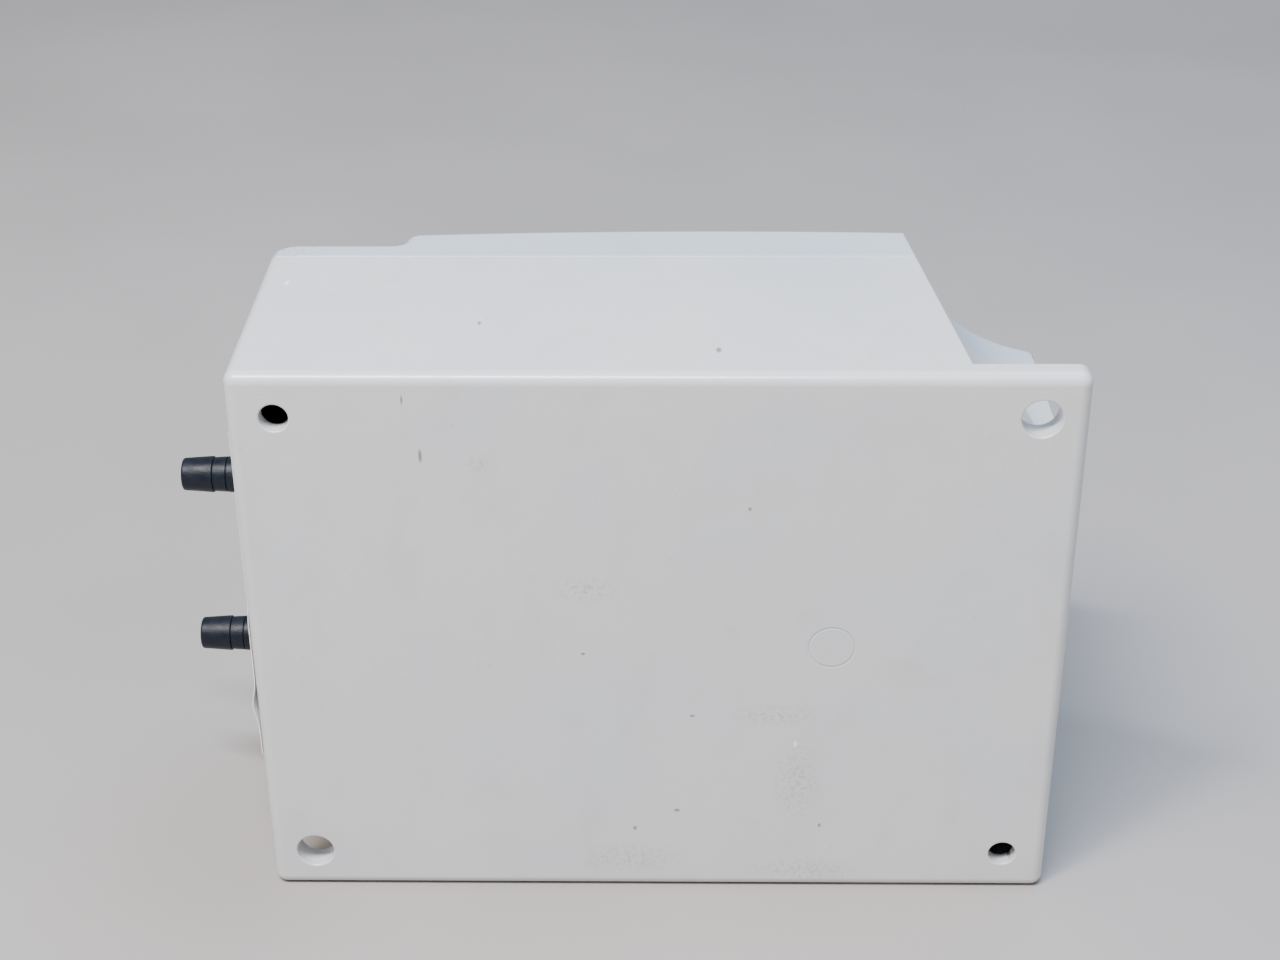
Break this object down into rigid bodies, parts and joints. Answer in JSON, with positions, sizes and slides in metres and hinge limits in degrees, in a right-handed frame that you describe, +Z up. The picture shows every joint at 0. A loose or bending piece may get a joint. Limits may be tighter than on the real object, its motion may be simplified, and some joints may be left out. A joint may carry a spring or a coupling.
{
  "type": "garage door opener control unit",
  "caption": "Wall box of a garage door opener: moulded shell and lid over a circuit board with transformer, relays, receiver, terminals, button and cable inlets.",
  "frame": {"origin": "centre of the flat back face that lies on the wall", "axes": "+Y from the wall towards the lid, +Z up as the box stands on its long lower side, +X away from the cable inlets"},
  "size_m": [0.176, 0.0695, 0.119],
  "materials": {
    "base_plastic": "moulded light grey ABS, fine satin",
    "lid_plastic": "moulded light grey ABS, fine satin",
    "button_plastic": "moulded mid grey ABS",
    "gasket_foam": "closed cell foam rubber",
    "zinc_steel": "bright zinc plated steel",
    "label_film": "blank white vinyl film",
    "inlet_rubber": "moulded black rubber",
    "board_laminate": "glass epoxy laminate with green solder mask",
    "core_steel": "varnished steel laminations",
    "bobbin_nylon": "natural nylon",
    "primary_tape": "varnished copper wire under amber tape",
    "secondary_tape": "yellow polyester tape",
    "tin": "tinned metal",
    "relay_case": "dark moulded plastic case",
    "terminal_plastic": "green moulded polyamide",
    "terminal_steel": "nickel plated steel",
    "brass": "bright brass",
    "fuse_glass": "clear glass tube",
    "nickel": "nickel plated brass",
    "varistor_epoxy": "dipped blue epoxy",
    "capacitor_sleeve": "shrunk dark blue sleeve",
    "moulded_epoxy": "black moulded epoxy",
    "sink_aluminium": "black anodised aluminium",
    "dip_plastic": "red moulded plastic",
    "white_nylon": "white nylon",
    "trimmer_plastic": "blue moulded plastic",
    "switch_plastic": "black moulded plastic",
    "learn_cap": "amber moulded plastic",
    "spring_steel": "bright spring wire",
    "led_epoxy": "green tinted epoxy",
    "clear_acrylic": "clear acrylic rod",
    "receiver_laminate": "glass epoxy laminate with blue solder mask",
    "can_steel": "tinned steel can",
    "copper_wire": "enamelled copper wire"
  },
  "bodies": {
    "root": {"base_shell": "base_plastic", "lid_gasket": "gasket_foam", "side_label": "label_film", "cable_grommet_upper": "inlet_rubber", "cable_grommet_lower": "inlet_rubber", "circuit_board": "board_laminate", "board_screws": "zinc_steel", "transformer_core": "core_steel", "transformer_bobbin": "bobbin_nylon", "primary_winding": "primary_tape", "secondary_winding": "secondary_tape", "transformer_bolts": "zinc_steel", "transformer_spacers": "bobbin_nylon", "transformer_pins": "tin", "relay_open": "relay_case", "relay_close": "relay_case", "mains_terminal_block": "terminal_plastic", "motor_terminal_block": "terminal_plastic", "control_terminal_block": "terminal_plastic", "terminal_screws": "terminal_steel", "terminal_clamps": "brass", "fuse_clips": "tin", "varistor": "varistor_epoxy", "smoothing_capacitors": "capacitor_sleeve", "bridge_rectifier": "moulded_epoxy", "voltage_regulator": "moulded_epoxy", "heat_sink": "sink_aluminium", "control_chip": "moulded_epoxy", "crystal": "nickel", "dip_switch_body": "dip_plastic", "open_force_trimmer_body": "trimmer_plastic", "close_force_trimmer_body": "trimmer_plastic", "learn_switch_body": "switch_plastic", "operate_switch_body": "switch_plastic", "indicator_led": "led_epoxy", "receiver_board": "receiver_laminate", "receiver_can": "can_steel", "receiver_pins": "brass", "antenna_coil": "copper_wire"},
    "lid": {"front_lid": "lid_plastic", "lid_screws": "zinc_steel", "light_pipe": "clear_acrylic", "button_spring": "spring_steel"},
    "operate_button": {"operate_button": "button_plastic", "button_retainer": "zinc_steel"},
    "operate_plunger": {"operate_switch_plunger": "white_nylon"},
    "learn_button": {"learn_button": "learn_cap"},
    "fuse": {"fuse_glass": "fuse_glass", "fuse_caps": "nickel"},
    "open_trimmer": {"open_force_trimmer_rotor": "white_nylon"},
    "close_trimmer": {"close_force_trimmer_rotor": "white_nylon"},
    "dip_slider_1": {"dip_slider_1": "white_nylon"},
    "dip_slider_2": {"dip_slider_2": "white_nylon"},
    "dip_slider_3": {"dip_slider_3": "white_nylon"},
    "dip_slider_4": {"dip_slider_4": "white_nylon"}
  },
  "joints": [
    {"name": "lid_lift", "type": "slide", "parent": "root", "child": "lid", "axis": [0, 1, 0], "range_m": [0, 0.07]},
    {"name": "operate_button_press", "type": "slide", "parent": "lid", "child": "operate_button", "axis": [0, -1, 0], "range_m": [0, 0.0015], "stiffness_N_per_m": 400, "springref_m": -0.001, "deforming": ["button_spring"]},
    {"name": "operate_plunger_press", "type": "slide", "parent": "root", "child": "operate_plunger", "axis": [0, -1, 0], "range_m": [0, 0.0015]},
    {"name": "learn_button_press", "type": "slide", "parent": "root", "child": "learn_button", "axis": [0, -1, 0], "range_m": [0, 0.0005], "stiffness_N_per_m": 1000, "springref_m": -0.0004},
    {"name": "fuse_pull", "type": "slide", "parent": "root", "child": "fuse", "axis": [0, 1, 0], "range_m": [0, 0.012]},
    {"name": "open_force_turn", "type": "hinge", "parent": "root", "child": "open_trimmer", "pos_m": [-0.014, 0.0126, -0.018], "axis": [0, 1, 0], "range_deg": [-135, 135]},
    {"name": "close_force_turn", "type": "hinge", "parent": "root", "child": "close_trimmer", "pos_m": [-0.002, 0.0126, -0.018], "axis": [0, 1, 0], "range_deg": [-135, 135]},
    {"name": "dip_slide_1", "type": "slide", "parent": "root", "child": "dip_slider_1", "axis": [1, 0, 0], "range_m": [0, 0.002]},
    {"name": "dip_slide_2", "type": "slide", "parent": "root", "child": "dip_slider_2", "axis": [1, 0, 0], "range_m": [0, 0.002]},
    {"name": "dip_slide_3", "type": "slide", "parent": "root", "child": "dip_slider_3", "axis": [1, 0, 0], "range_m": [0, 0.002]},
    {"name": "dip_slide_4", "type": "slide", "parent": "root", "child": "dip_slider_4", "axis": [1, 0, 0], "range_m": [0, 0.002]}
  ],
  "couplings": [
    {"joint": "operate_plunger_press", "follows": "operate_button_press", "ratio": 1}
  ]
}
